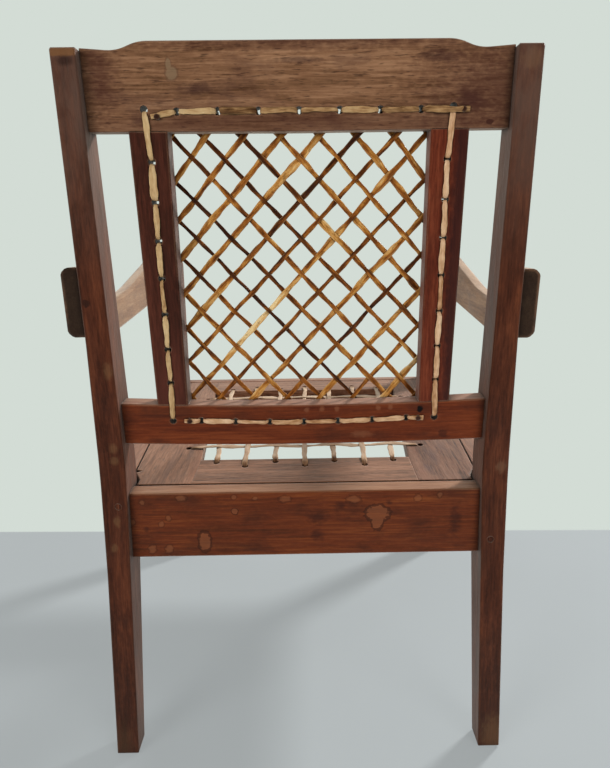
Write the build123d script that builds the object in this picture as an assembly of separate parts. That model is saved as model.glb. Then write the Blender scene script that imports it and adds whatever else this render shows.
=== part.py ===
from build123d import *
from math import atan2, degrees, hypot, radians, tan
import os

# Armchair of pegged hardwood, with a thong-laced back and a thong-laced drop-in seat.
# Millimetres. +x is the sitter's left, +y the back of the chair, +z up. Everything is drawn with
# the back faces of the rear posts at y = 0 at seat height, then moved to the middle of the footprint.

# Whole chair
post_height = 920.5
knee_height = 417
foot_splay = 23.4
top_lean = 38.0
rake = degrees(atan2(top_lean, post_height - knee_height))
footprint_shift = 240.7

# Rear posts: half spans from the chair's middle line, and depths from back to front
post_outer_foot = 272.0
post_outer_shin = (269.0, 270)
post_outer_knee = 270.0
post_outer_waist = (266.7, 590)
post_outer_top = 265.8
post_inner_foot = 242.0
post_inner_knee = 235.7
post_inner_top = 238.3
post_depth_foot = 29.0
post_depth_apron = 45.0
post_depth_knee = 44.0
post_depth_top = 35.0
apron_low = 285.0
side_curve = 350
post_top_round = 3.5
foot_chamfer = 2.5
edge_ease = 1.2
tenon_thickness = 9.0

# Back frame, drawn upright and then leaned back by the rake about the knee
back_recess = 11.5
back_thickness = 23.0
rail_half = 255.0
top_rail_low = 837.5
top_rail_sag = 1.3
top_rail_end = 924.2
top_rail_dip = (198.3, 920.0)
top_rail_crest = (175.8, 929.6)
dip_round = 50.0
crest_round = 55.0
lower_rail_low = 453.9
lower_rail_low_sag = 5.0
lower_rail_top = 510.2
lower_rail_top_sag = 6.4
stile_inner = 149.5
stile_outer_top = 193.0
stile_outer_low = 189.0

# Seat plane: it rises to the front from the back edge of the rear apron
seat_slope = 3.1
seat_edge_y = -5.8
seat_edge_z = 383.8
apron_height = 93.5
rear_apron_thickness = 23.3
front_apron_back = -481.0
front_apron_front = -500.0
side_apron_start = 246.0
side_apron_spread = 0.07
side_apron_thickness = 23.7
post_front = -43.0

# Front legs
leg_inner = 258.0
leg_outer = 299.0
leg_back = -462.0
leg_front = -502.0
leg_height = 674.0
leg_foot_taper = 8.0
leg_taper_z = 250.0
leg_foot_chamfer = 1.5

# Arms: boards on edge, lapped on the outer faces of the posts and legs
arm_thickness = 25.5
arm_start_x = 265.5
arm_start_y = -21.0
arm_spread = degrees(atan2(0.0697, 1))
arm_rear_edge = 28.0
arm_outer_round = 6.4
arm_inner_ease = 4.5
arm_pivot = (0, -482, 650)
right_arm_drop = 8.3

# Drop-in seat frame
seat_board = 20.0
seat_gap = 2.3
seat_back_y = -31.5
seat_front_y = -479.3
seat_corner_x = 233.0
seat_corner_y = -45.5
seat_notch_y = -68.0
opening_back_y = -103.0
opening_front_y = -418.0
opening_half_back = 158.0
opening_half_front = 187.0
cleat_depth = 18.0
cleat_height = 20.0
cleat_clearance = 0.3

# Lacing
thong_width = 6.5
thong_thickness = 1.6
weave_lift = 2.2
stitch_width = 6.5
stitch_thickness = 1.8
stitch_inset = 0.7
thong_overrun = 3.0
thong_tail = 7.0
back_hole = 4.5
top_hole_z = 858.0
top_hole_pitch = 45.7
bottom_hole_z = 484.5
bottom_hole_pitch = 44.6
bottom_row_sag = 3.3
column_x = 169.5
column_first_z = 804.6
column_pitch = 44.6
corner_top = (173.5, 860.5)
corner_bottom = (170.5, 485.0)
lacing_count = 7
seat_thong_width = 8.0
seat_thong_thickness = 1.8
seat_hole = 4.8
seat_row_half_back = 133.0
seat_row_half_front = 151.0
seat_cross_first_y = -145.0
seat_cross_pitch = 45.0
seat_cross_count = 6
seat_tail = 14.0

# Pegs are whittled with nine sides, like the holes
peg_sides = 9
peg_radius = 4.5
left_rear_peg_z = 370.0
right_rear_peg_z = 315.0
thong_peg_radius = 3.2
top_peg_left = (159.0, 852.5)
top_peg_right = (-184.5, 857.5)
bottom_peg_left = (148.5, 485.0)
bottom_peg_right = (-149.0, 484.5)


upward, across, forward = Vector(0, 0, 1), Vector(1, 0, 0), Vector(0, -1, 0)


def seat_z(y):
    """Height of the seat plane at y."""
    return seat_edge_z + (seat_edge_y - y) * tan(radians(seat_slope))


def side_apron_x(y):
    """Inner face of the left side apron at y."""
    return side_apron_start + (post_front - y) * side_apron_spread


def leaned(part):
    """Lean a part of the upright back frame by the rake, about the knee of the posts."""
    return part.rotate(Axis((0, 0, knee_height), (1, 0, 0)), -rake)


def sloped(part):
    """Tip a part that is drawn level at the seat's back edge up to the seat's slope."""
    return part.rotate(Axis((0, seat_edge_y, seat_edge_z), (1, 0, 0)), -seat_slope)


def other_side(part):
    return mirror(part, about=Plane.YZ)


def group(parts):
    return Compound(children=list(parts))


def block(x_low, x_high, y_low, y_high, z_low, z_high):
    size = Box(x_high - x_low, y_high - y_low, z_high - z_low, align=(Align.MIN,) * 3)
    return Pos(x_low, y_low, z_low) * size


def prism(plane, points, low, high):
    """A closed outline on a plane, extruded from low to high along its normal."""
    outline = plane.offset(low) * Polygon(*points)
    return extrude(outline, high - low, dir=plane.z_dir)


def rod(centre, direction, radius, length):
    """A many-sided rod about its centre, for pegs and for the holes that take them."""
    section = Plane(origin=centre, z_dir=direction) * RegularPolygon(radius, peg_sides)
    return extrude(section, length / 2, both=True)


# Rear posts and front legs


def rounded_corner(face, point, radius):
    u, v = point
    nearest = face.vertices().sort_by(lambda vertex: hypot(vertex.Y - u, vertex.Z - v))[0]
    return fillet(nearest, radius)


def eased(part, direction, least):
    """A board whose edges longer than least, near a direction, have lost their sharpness."""
    worn = part.edges().filter_by(
        lambda edge: edge.length > least and abs((edge @ 1 - edge @ 0).normalized().dot(direction)) > 0.97
    )
    return chamfer(worn, edge_ease)


def rear_post_blank():
    """Leg and leaned back post in one piece, sawn to a side pattern and then to a back pattern."""
    knee_back = (0, knee_height)
    knee_front = (-post_depth_knee, knee_height)
    apron_front = (7.4 - post_depth_apron, apron_low)
    top_back = (top_lean, post_height)
    top_front = (top_lean - post_depth_top, post_height)
    outline = [(foot_splay, 0), knee_back, top_back, top_front, knee_front, apron_front,
               (foot_splay - post_depth_foot, 0)]
    side = Plane.YZ * Polygon(*outline)
    for point in (knee_back, knee_front, apron_front):
        side = rounded_corner(side, point, side_curve)
    for point in (top_back, top_front):
        side = rounded_corner(side, point, post_top_round)
    back = [(post_outer_foot, 0), post_outer_shin, (post_outer_knee, knee_height), post_outer_waist,
            (post_outer_top, post_height), (post_inner_top, post_height),
            (post_inner_knee, knee_height), (post_inner_foot, 0)]
    post = extrude(side, 300, dir=(1, 0, 0)) & prism(Plane.XZ, back, -80, 80)
    post = chamfer(post.edges().group_by(Axis.Z)[0], foot_chamfer)
    return eased(post, upward, 20)


def front_leg_blank():
    """Square leg that rises to the arm, tapered on its two inner faces below the aprons."""
    leg = block(leg_inner, leg_outer, leg_front, leg_back, 0, leg_height)
    leg = fillet(leg.edges().filter_by(Axis.X).group_by(Axis.Z)[-1], 9)
    leg = eased(leg, upward, 100)
    inner = [(leg_inner, leg_taper_z), (leg_inner + leg_foot_taper, 0), (leg_inner, 0)]
    leg -= prism(Plane.XZ, inner, 400, 600)
    rear = [(leg_back, leg_taper_z), (leg_back - leg_foot_taper, 0), (leg_back, 0)]
    leg -= prism(Plane.YZ, rear, 200, 400)
    return chamfer(leg.edges().group_by(Axis.Z)[0], leg_foot_chamfer)


# Back frame, drawn upright


def back_board(points):
    return prism(Plane.XZ, points, back_recess, back_recess + back_thickness)


def back_tenon(x_low, x_high, z_low, z_high):
    middle = -back_recess - back_thickness / 2
    return block(x_low, x_high, middle - tenon_thickness / 2, middle + tenon_thickness / 2, z_low, z_high)


def between_posts():
    """The room between the inner faces of the rear posts, which sets the shoulders of every rail."""
    half = [(post_inner_foot, -10), (post_inner_knee, knee_height), (post_inner_top, post_height + 40)]
    return prism(Plane.XZ, half + [(-x, z) for x, z in reversed(half)], -90, 90)


def rail_tenons():
    """Ends of the two back rails inside the posts."""
    top = back_tenon(-258, 258, top_rail_low + 13, top_rail_end - 18)
    low = back_tenon(-258, 258, lower_rail_low + 8, lower_rail_top - 9)
    return leaned(top) - between_posts(), leaned(low) - between_posts()


def bowed_edge(end_z, middle_z):
    """An edge of the lower rail that bows from its ends to its middle."""
    return ThreePointArc((rail_half, end_z), (0, middle_z), (-rail_half, end_z))


def back_rail(low, top):
    """A rail between two edges that both run from the left to the right."""
    outline = make_face([low, Line(low @ 1, top @ 1), top, Line(top @ 0, low @ 0)])
    return extrude(Plane.XZ.offset(back_recess) * outline, back_thickness, dir=forward)


def top_rail_blank():
    """Crest rail: its ends are level with the posts, and an ogee on each side lifts the middle."""
    left = [(rail_half, top_rail_end), top_rail_dip, top_rail_crest]
    right = [(-x, z) for x, z in reversed(left)]
    crest = FilletPolyline(*left, *right, radius=(dip_round, crest_round, crest_round, dip_round))
    middle = (0, top_rail_low - top_rail_sag)
    return back_rail(Polyline((rail_half, top_rail_low), middle, (-rail_half, top_rail_low)), crest)


def lower_rail_blank():
    """Lower rail, worn hollow on top and bellied below."""
    return back_rail(bowed_edge(lower_rail_low, lower_rail_low - lower_rail_low_sag),
                     bowed_edge(lower_rail_top, lower_rail_top - lower_rail_top_sag))


def fitted_rail(blank):
    return leaned(eased(blank, across, 60)) & between_posts()


def stile_tenons():
    """Stub tenons at both ends of the left stile."""
    low = back_tenon(stile_inner + 9, stile_outer_low - 9, lower_rail_top - 22, lower_rail_top)
    top = back_tenon(stile_inner + 9, stile_outer_top - 12, top_rail_low - 2, top_rail_low + 14)
    return leaned(low), leaned(top)


def stile():
    """A stile with its shoulders scribed to the curved edges of both rails."""
    low_z = lower_rail_top - lower_rail_top_sag
    points = [(stile_inner, low_z), (stile_outer_low, low_z),
              (stile_outer_top, top_rail_low), (stile_inner, top_rail_low)]
    board = eased(back_board(points), upward, 100) - lower_rail_blank() - top_rail_blank()
    low, top = stile_tenons()
    return leaned(board) + low + top


# Lacing of the back


def hole_rows():
    """Lacing holes (x, z) of the upright back: four lists, each with its corner holes at its ends."""
    last = lacing_count // 2
    steps = range(last, -last - 1, -1)
    top = [(step * top_hole_pitch, top_hole_z) for step in steps]
    bottom = [(step * bottom_hole_pitch, bottom_hole_z - bottom_row_sag * (1 - (step / last) ** 2))
              for step in steps]
    heights = [column_first_z - k * column_pitch for k in range(lacing_count)]
    rows = {
        "top": [corner_top] + top + [(-corner_top[0], corner_top[1])],
        "bottom": [corner_bottom] + bottom + [(-corner_bottom[0], corner_bottom[1])],
    }
    for name, side in (("left", 1), ("right", -1)):
        column = [(side * x, z) for x, z in [corner_top] + [(column_x, z) for z in heights] + [corner_bottom]]
        rows[name] = column
    return rows


def back_drills():
    rows = hole_rows()
    holes = rows["top"] + rows["bottom"] + rows["left"][1:-1] + rows["right"][1:-1]
    middle = -back_recess - back_thickness / 2
    return leaned(group(rod((x, middle, z), (0, 1, 0), back_hole, 40) for x, z in holes))


def diagonals():
    """The two families of back thongs, each a list of pairs of holes."""
    rows = hole_rows()
    last = lacing_count + 1
    falling_left = [(rows["top"][k], rows["left"][k]) for k in range(1, last + 1)]
    falling_left += [(rows["right"][k], rows["bottom"][k]) for k in range(1, last)]
    falling_right = [(rows["top"][last - k], rows["right"][k]) for k in range(1, last + 1)]
    falling_right += [(rows["left"][k], rows["bottom"][last - k]) for k in range(1, last)]
    return falling_left, falling_right


def crossing(first, second):
    """Distance along the first line to the second, or None where they don't meet."""
    (ax, ay), (bx, by) = first
    (cx, cy), (dx, dy) = second
    run_x, run_y = bx - ax, by - ay
    other_x, other_y = dx - cx, dy - cy
    cross = run_x * other_y - run_y * other_x
    share = ((cx - ax) * other_y - (cy - ay) * other_x) / cross
    other_share = ((cx - ax) * run_y - (cy - ay) * run_x) / cross
    if -0.01 < share < 1.01 and -0.01 < other_share < 1.01:
        return share * hypot(run_x, run_y)
    return None


def woven_levels(line, others, number, over_when):
    """(distance, lift) at each crossing of a thong that goes over one thong and under the next."""
    levels = []
    for other_number, other in enumerate(others):
        distance = crossing(line, other)
        if distance is not None:
            over = (number + other_number) % 2 == over_when
            levels.append((distance, weave_lift if over else 0))
    return sorted(levels)


def ribbon(start, end, up, width, thickness, overrun, levels=(), start_leg=0, end_leg=0):
    """A flat thong from start to end on the face whose outward normal is up.

    It runs past both points by overrun, rises to the given levels, and can turn down a hole at
    either end by a leg of the given length."""
    start, end, up = Vector(start), Vector(end), Vector(up)
    length = (end - start).length
    run = (end - start).normalized()
    low, high = -overrun, length + overrun
    levels = list(levels)
    first = levels[0][1] if levels and levels[0][0] < 1 else 0
    last = levels[-1][1] if levels and levels[-1][0] > length - 1 else 0
    path = [(low, first)] + levels + [(high, last)]
    upper = [(distance, height + thickness) for distance, height in path]
    lower = path[::-1]
    if end_leg:
        lower[:1] = [(high, -end_leg), (high - thickness, -end_leg), (high - thickness, 0)]
    if start_leg:
        lower[-1:] = [(low + thickness, 0), (low + thickness, -start_leg), (low, -start_leg)]
    plane = Plane(origin=start, x_dir=run, z_dir=run.cross(up))
    return extrude(plane * Polygon(*upper, *lower), width / 2, both=True)


def back_lattice(lines, others, over_when):
    """One family of diagonals, laid on the front of the back frame."""
    depth = -back_recess - back_thickness
    return leaned(group(
        ribbon((ax, depth, az), (bx, depth, bz), (0, -1, 0), thong_width, thong_thickness, thong_overrun,
               woven_levels(((ax, az), (bx, bz)), others, number, over_when))
        for number, ((ax, az), (bx, bz)) in enumerate(lines)
    ))


def stitch(start, end, start_leg=back_thickness, end_leg=back_thickness, levels=()):
    """A stitch on the back of the frame: its legs pass through the frame to the diagonals."""
    (ax, az), (bx, bz) = start, end
    return ribbon((ax, -back_recess, az), (bx, -back_recess, bz), (0, 1, 0), stitch_width,
                  stitch_thickness, -stitch_inset, levels, start_leg, end_leg)


def stitches(holes):
    return [stitch(first, second) for first, second in zip(holes, holes[1:])]


def thong_end_pegs():
    centres = (top_peg_left, top_peg_right, bottom_peg_left, bottom_peg_right)
    middle = -back_recess - 1.5
    return leaned(group(rod((x, middle, z), (0, 1, 0), thong_peg_radius, 10) for x, z in centres))


def back_stitches():
    """Rows of stitches by node name. The two rows end past pegs, the right one over a column."""
    rows = hole_rows()
    top, bottom = rows["top"], rows["bottom"]
    top_left = (top_peg_left[0] + thong_tail, top_peg_left[1])
    top_right = (top_peg_right[0] - thong_tail, top_peg_right[1])
    bottom_left = (bottom_peg_left[0] + thong_tail, bottom_peg_left[1])
    bottom_right = (bottom_peg_right[0] - thong_tail, bottom_peg_right[1])
    over_column = top[-2][0] + corner_top[0]
    lift = stitch_thickness + 0.3
    raised = [(over_column - 6.5, lift), (over_column + 6.5, lift)]
    parts = {
        "back_stitches_top": stitches(top[1:-1]) + [
            stitch(top_left, top[1], start_leg=0),
            stitch(top[-2], top_right, end_leg=0, levels=raised),
        ],
        "back_stitches_bottom": stitches(bottom[1:-1]) + [
            stitch(bottom_left, bottom[1], start_leg=0),
            stitch(bottom[-2], bottom_right, end_leg=0),
        ],
        "back_stitches_left": stitches(rows["left"]),
        "back_stitches_right": stitches(rows["right"]),
    }
    return {name: leaned(group(row)) for name, row in parts.items()}


# Aprons and the cleats that carry the seat


def cross_board(y_back, y_front, x_half, depth_low, depth_high):
    """A board across the chair, between two depths below the seat plane."""
    points = [(y_back, seat_z(y_back) - depth_low), (y_front, seat_z(y_front) - depth_low),
              (y_front, seat_z(y_front) - depth_high), (y_back, seat_z(y_back) - depth_high)]
    return eased(prism(Plane.YZ, points, -x_half, x_half), across, 100)


def side_board(y_back, y_front, inner, outer, depth_low, depth_high):
    """A board along the left side, between two offsets from the apron's inner face."""
    plan = [(side_apron_x(y_back) + inner, y_back), (side_apron_x(y_back) + outer, y_back),
            (side_apron_x(y_front) + outer, y_front), (side_apron_x(y_front) + inner, y_front)]
    ends = (y_back + 5, y_front - 5)
    side = [(y, seat_z(y) - depth_low) for y in ends] + [(y, seat_z(y) - depth_high) for y in ends[::-1]]
    return prism(Plane.XY, plan, 200, 600) & prism(Plane.YZ, side, 0, 400)


def rear_apron_tenons():
    middle = seat_edge_y - rear_apron_thickness / 2
    low, high = seat_edge_z - apron_height + 10, seat_edge_z - 10
    return block(-260, 260, middle - tenon_thickness / 2, middle + tenon_thickness / 2, low, high)


def front_apron_tenons():
    middle = (front_apron_back + front_apron_front) / 2
    high = seat_z(front_apron_back)
    return block(-280, 280, middle - 4, middle + 4, high - apron_height + 10, high - 10)


def side_apron_tenons():
    """Tenons of the left side apron into the rear post and the front leg."""
    rear = side_board(-26, -60, 6.5, 14.5, 10, 78)
    front = side_board(-450, -482, 6.5, 14.5, 10, 78)
    return rear, front


# Arms


def arm_outline():
    """Side view of an arm: a tall lapped end, a low elbow rest that rises, and a rounded hand rest."""
    corners = [
        ((33, 686), 0), ((2, 686), 26), ((-95, 633), 120), ((-190, 641), 500), ((-430, 689), 250),
        ((-499.5, 690), 38), ((-499.5, 607), 38), ((-430, 604.5), 300), ((-106, 586.5), 300), ((26.5, 600), 0),
    ]
    points = [point for point, _ in corners]
    radii = [radius for _, radius in corners[1:-1]]
    board = FilletPolyline(*points, radius=radii) + Line(points[-1], points[0])
    return Plane.YZ * make_face(board)


def arm_rim(arm, x):
    """Edges around an arm at x, but for the upright one at its sawn rear end."""
    return [edge for edge in arm.edges()
            if abs((edge @ 0).X - x) < 0.01 and abs((edge @ 1).X - x) < 0.01 and (edge @ 0.5).Y < arm_rear_edge]


def arm_blank(rear_drop):
    """A board on edge, rounded outside in three facets and set on the left post and leg.

    Its rear end lies lower than drawn by the given drop."""
    arm = extrude(arm_outline(), arm_thickness, dir=across)
    arm = chamfer(arm_rim(arm, arm_thickness), arm_outer_round)
    for x in (arm_thickness, arm_thickness - arm_outer_round):
        arm = chamfer(arm_rim(arm, x), 0.3 * arm_outer_round)
    arm = chamfer(arm_rim(arm, 0), arm_inner_ease)
    arm = Pos(arm_start_x, arm_start_y, 0) * Rot(0, 0, arm_spread) * arm
    tilt = degrees(atan2(rear_drop, -arm_pivot[1]))
    return arm.rotate(Axis(arm_pivot, (1, 0, 0)), -tilt)


# Drop-in seat, drawn level


def opening_half(y):
    share = (opening_back_y - y) / (opening_back_y - opening_front_y)
    return opening_half_back + share * (opening_half_front - opening_half_back)


def lengthwise_rows():
    """Hole pairs (x, y) of the thongs from the rear rail to the front rail, in a zigzag of two rows."""
    rows = []
    for step in range(-3, 4):
        inset = 9 if step % 2 else 22
        back = (seat_row_half_back * step / 3, opening_back_y + inset)
        front = (seat_row_half_front * step / 3, opening_front_y - inset)
        rows.append((back, front))
    return rows


def crosswise_rows():
    """Hole pairs (x, y) of the thongs from the left side rail to the right one."""
    rows = []
    for number in range(seat_cross_count):
        y = seat_cross_first_y - number * seat_cross_pitch
        half = opening_half(y) + (11 if number % 2 else 23)
        rows.append(((half, y), (-half, y)))
    return rows


def seat_drills():
    holes = [hole for row in lengthwise_rows() + crosswise_rows() for hole in row]
    return group(rod((x, y, seat_edge_z - seat_board / 2), (0, 0, 1), seat_hole, 40) for x, y in holes)


def seat_thongs(rows, others, over_when):
    top = seat_edge_z
    return sloped(group(
        ribbon((ax, ay, top), (bx, by, top), upward, seat_thong_width, seat_thong_thickness,
               thong_overrun, woven_levels(((ax, ay), (bx, by)), others, number, over_when))
        for number, ((ax, ay), (bx, by)) in enumerate(rows)
    ))


def free_ends():
    """Where the seat's thongs start and stop: a hole (x, y) and the way its tail lies."""
    lengthwise, crosswise = lengthwise_rows(), crosswise_rows()
    return [(lengthwise[0][0], (0, 1)), (lengthwise[-1][1], (0, -1)),
            (crosswise[0][1], (-1, 0)), (crosswise[-1][1], (-1, 0))]


def under_stitches():
    """Below the seat frame each thong passes to its neighbour, at one end and then at the other."""
    lengthwise, crosswise = lengthwise_rows(), crosswise_rows()
    pairs = [(lengthwise[k][1], lengthwise[k + 1][1]) for k in (0, 2, 4)]
    pairs += [(lengthwise[k][0], lengthwise[k + 1][0]) for k in (1, 3, 5)]
    pairs += [(crosswise[k][0], crosswise[k + 1][0]) for k in (0, 2, 4)]
    pairs += [(crosswise[k][1], crosswise[k + 1][1]) for k in (1, 3)]
    tails = [((x, y), (x + seat_tail * dx, y + seat_tail * dy)) for (x, y), (dx, dy) in free_ends()]
    low = seat_edge_z - seat_board
    return sloped(group(
        ribbon((ax, ay, low), (bx, by, low), (0, 0, -1), stitch_width, stitch_thickness,
               -stitch_inset, (), seat_board, end_leg)
        for rows, end_leg in ((pairs, seat_board), (tails, 0)) for (ax, ay), (bx, by) in rows
    ))


def seat_wedges():
    """Small pegs driven up from below beside the four free thong ends."""
    low = seat_edge_z - seat_board + 4
    return sloped(group(
        rod((x - 1.2 * dx, y - 1.2 * dy, low), upward, 1.8, 16) for (x, y), (dx, dy) in free_ends()
    ))


def seat_boards():
    """Side rails run the full depth, and the rear and front rails are tenoned between them."""
    low, high = seat_edge_z - seat_board, seat_edge_z
    notch_x, notch_y = leg_inner - seat_gap, leg_back + seat_gap
    outline = [
        (seat_corner_x, seat_back_y), (seat_corner_x, seat_corner_y),
        (side_apron_x(seat_notch_y) - seat_gap, seat_notch_y),
        (side_apron_x(notch_y) - seat_gap, notch_y), (notch_x, notch_y), (notch_x, seat_front_y),
        (opening_half_front, seat_front_y), (opening_half_front, opening_front_y),
        (opening_half_back, opening_back_y), (opening_half_back, seat_back_y),
    ]
    left = prism(Plane.XY, outline, low, high)
    right = other_side(left)
    chip = prism(Plane.XY, [(246, -66), (236.5, -71.5), (246, -75)], high - 7, high + 1)
    rear = block(-opening_half_back, opening_half_back, opening_back_y, seat_back_y, low, high)
    front = block(-opening_half_front, opening_half_front, seat_front_y, opening_front_y, low, high)
    rear_tongue = block(-opening_half_back - 24, opening_half_back + 24,
                        opening_back_y + 12, seat_back_y - 12, low + 6.5, high - 6.5)
    front_tongue = block(-opening_half_front - 24, opening_half_front + 24,
                         seat_front_y + 10, opening_front_y - 10, low + 6.5, high - 6.5)
    drills = seat_drills()
    boards = {
        "seat_side_rail_left": left - rear_tongue - front_tongue - drills - chip,
        "seat_side_rail_right": right - rear_tongue - front_tongue - drills,
        "seat_rear_rail": rear + rear_tongue - drills,
        "seat_front_rail": front + front_tongue - drills,
    }
    return {name: sloped(board) for name, board in boards.items()}


# Pegs of the frame joints


def both_sides(part):
    return [part, other_side(part)]


def rear_peg(x, z):
    """A peg driven from behind through the rear apron's tenon, cut flush with the post."""
    return rod((x, -4, z), (0, 1, 0), peg_radius, 40)


def frame():
    """Every piece of the chair frame by node name."""
    post, leg = rear_post_blank(), front_leg_blank()
    top_tongue, low_tongue = rail_tenons()
    stile_low, stile_top = stile_tenons()
    stile_stubs = [stile_low, other_side(stile_low), stile_top, other_side(stile_top)]
    side_rear, side_front = side_apron_tenons()
    rear_tongue, front_tongue = rear_apron_tenons(), front_apron_tenons()
    drills, thong_pegs = back_drills(), thong_end_pegs()

    side_peg_rear = rod((256, -34, 342), (1, 0, 0), peg_radius, 30) & post
    side_peg_front = rod((286, -473, 365), (1, 0, 0), peg_radius, 26)
    front_peg = rod((269, -493, 365), (0, 1, 0), peg_radius, 18)
    left_peg = rear_peg(248.6, left_rear_peg_z) & post
    right_peg = rear_peg(-249.5, right_rear_peg_z) & other_side(post)
    arm_holes = [((272, -6, 618), 40), ((272, -2, 662), 40), ((303, -473, 660), 44), ((303, -490, 641), 44)]
    arm_rods = group(rod(centre, (1, 0, 0), peg_radius, length) for centre, length in arm_holes)
    arms = [arm_blank(drop) - post - leg for drop in (0, right_arm_drop)]
    left_arm_pegs, right_arm_pegs = [arm_rods & (arm + post + leg) for arm in arms]

    apron_side = side_board(-20, -475, 0, side_apron_thickness, 0, 88) - post - leg + side_rear + side_front
    apron_rear = cross_board(seat_edge_y, seat_edge_y - rear_apron_thickness, 255, 0, apron_height)
    apron_rear = (apron_rear & between_posts()) + rear_tongue - left_peg - right_peg
    apron_front = cross_board(front_apron_back, front_apron_front, leg_inner, 0, apron_height) + front_tongue
    apron_side = apron_side - side_peg_rear - side_peg_front
    leg_cuts = front_tongue, side_front, front_peg, side_peg_front, arm_rods
    post_cuts = top_tongue, low_tongue, rear_tongue, side_rear, side_peg_rear, arm_rods
    for cut in leg_cuts:
        leg -= cut
    for cut in post_cuts:
        post -= cut
    top_rail = fitted_rail(top_rail_blank()) + top_tongue - drills - thong_pegs
    lower_rail = fitted_rail(lower_rail_blank()) + low_tongue - drills - thong_pegs
    for stub in stile_stubs:
        top_rail -= stub
        lower_rail -= stub
    left_stile = stile() - drills
    cleat_low = seat_board + cleat_clearance
    cleat_high = cleat_low + cleat_height
    cleat_side = side_board(-55, -453, -cleat_depth, 0, cleat_low, cleat_high)
    rear_cleat_y = seat_edge_y - rear_apron_thickness
    cleat_rear = cross_board(rear_cleat_y, rear_cleat_y - cleat_depth, 230, cleat_low, cleat_high)
    cleat_front = cross_board(front_apron_back + cleat_depth, front_apron_back, 250, cleat_low, cleat_high)
    return {
        "rear_post_left": post - left_peg,
        "rear_post_right": other_side(post) - right_peg,
        "front_leg_left": leg,
        "front_leg_right": other_side(leg),
        "top_rail": top_rail,
        "lower_back_rail": lower_rail,
        "back_stile_left": left_stile,
        "back_stile_right": other_side(stile()) - drills,
        "rear_apron": apron_rear,
        "front_apron": apron_front - front_peg - other_side(front_peg),
        "side_apron_left": apron_side,
        "side_apron_right": other_side(apron_side),
        "arm_left": arms[0] - arm_rods,
        "arm_right": other_side(arms[1] - arm_rods),
        "seat_cleat_rear": cleat_rear,
        "seat_cleat_front": cleat_front,
        "seat_cleat_left": cleat_side,
        "seat_cleat_right": other_side(cleat_side),
        "rear_joint_pegs": group([left_peg, right_peg]),
        "front_joint_pegs": group(both_sides(front_peg)),
        "side_joint_pegs": group(both_sides(side_peg_rear) + both_sides(side_peg_front)),
        "arm_pegs": group([left_arm_pegs, other_side(right_arm_pegs)]),
        "thong_end_pegs": thong_pegs,
    }


def lacing():
    """Every thong of the back and seat by node name."""
    falling_left, falling_right = diagonals()
    pegs = thong_end_pegs()
    nodes = {
        "back_thongs_falling_left": back_lattice(falling_left, falling_right, 0),
        "back_thongs_falling_right": back_lattice(falling_right, falling_left, 1),
        "seat_thongs_lengthwise": seat_thongs(lengthwise_rows(), crosswise_rows(), 1),
        "seat_thongs_crosswise": seat_thongs(crosswise_rows(), lengthwise_rows(), 0),
        "seat_under_stitches": under_stitches(),
        "seat_thong_wedges": seat_wedges(),
    }
    for name, row in back_stitches().items():
        nodes[name] = row - pegs
    return nodes


os.makedirs("parts", exist_ok=True)
for node, part in (frame() | lacing() | seat_boards()).items():
    export_step(Pos(0, footprint_shift, 0) * part, f"parts/{node}.step")
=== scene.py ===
import math
import random

import bmesh
import bpy
import numpy as np
from mathutils import Matrix, Vector


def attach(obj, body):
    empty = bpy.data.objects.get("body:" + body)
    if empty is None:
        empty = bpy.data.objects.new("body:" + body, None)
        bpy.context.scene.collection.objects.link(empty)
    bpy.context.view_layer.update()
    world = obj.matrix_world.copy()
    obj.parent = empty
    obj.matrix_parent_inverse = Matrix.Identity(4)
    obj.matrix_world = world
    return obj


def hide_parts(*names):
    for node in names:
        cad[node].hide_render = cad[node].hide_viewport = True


# Metres, as in the frame: +x is the sitter's left, +y the back of the chair, +z up.

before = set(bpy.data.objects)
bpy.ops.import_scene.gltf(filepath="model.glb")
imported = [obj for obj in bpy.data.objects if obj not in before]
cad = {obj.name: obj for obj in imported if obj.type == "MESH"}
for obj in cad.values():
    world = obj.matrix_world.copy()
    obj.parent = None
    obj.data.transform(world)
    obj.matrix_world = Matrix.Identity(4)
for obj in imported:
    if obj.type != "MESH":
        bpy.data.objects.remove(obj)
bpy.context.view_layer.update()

chair = {
    "postsBack": 0.2407,  # y of the posts' rear faces at the knee, where the back starts to lean
    "knee": 0.417,
    "rake": math.atan2(0.038, 0.5035),
    "seatEdge": (-0.0058, 0.3838),  # y from postsBack, and z, of the seat plane's rear edge
    "seatSlope": math.radians(3.1),
}
toChair = Matrix.Translation((0, chair["postsBack"], 0))


def turnedAbout(y, z, angle):
    pivot = Matrix.Translation((0, y, z))
    return toChair @ pivot @ Matrix.Rotation(-angle, 4, "X") @ pivot.inverted()


leanedBack = turnedAbout(0, chair["knee"], chair["rake"])
slopedSeat = turnedAbout(*chair["seatEdge"], chair["seatSlope"])


def addObject(name, data):
    made = bpy.data.objects.new(name, data)
    bpy.context.scene.collection.objects.link(made)
    return made


# Camera

view = {
    "place": (-0.0033, 0.8908, 0.7134),
    "focalPixels": 526.2,
    "frame": (610, 768),
    "middle": (310.1, 342.9),  # pixel that the lens looks at squarely
    "yaw": math.radians(-0.52),
    "pitch": math.radians(10.93),
    "roll": math.radians(-0.72),
    "sensor": 36,
    "nearest": 0.02,
}


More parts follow.
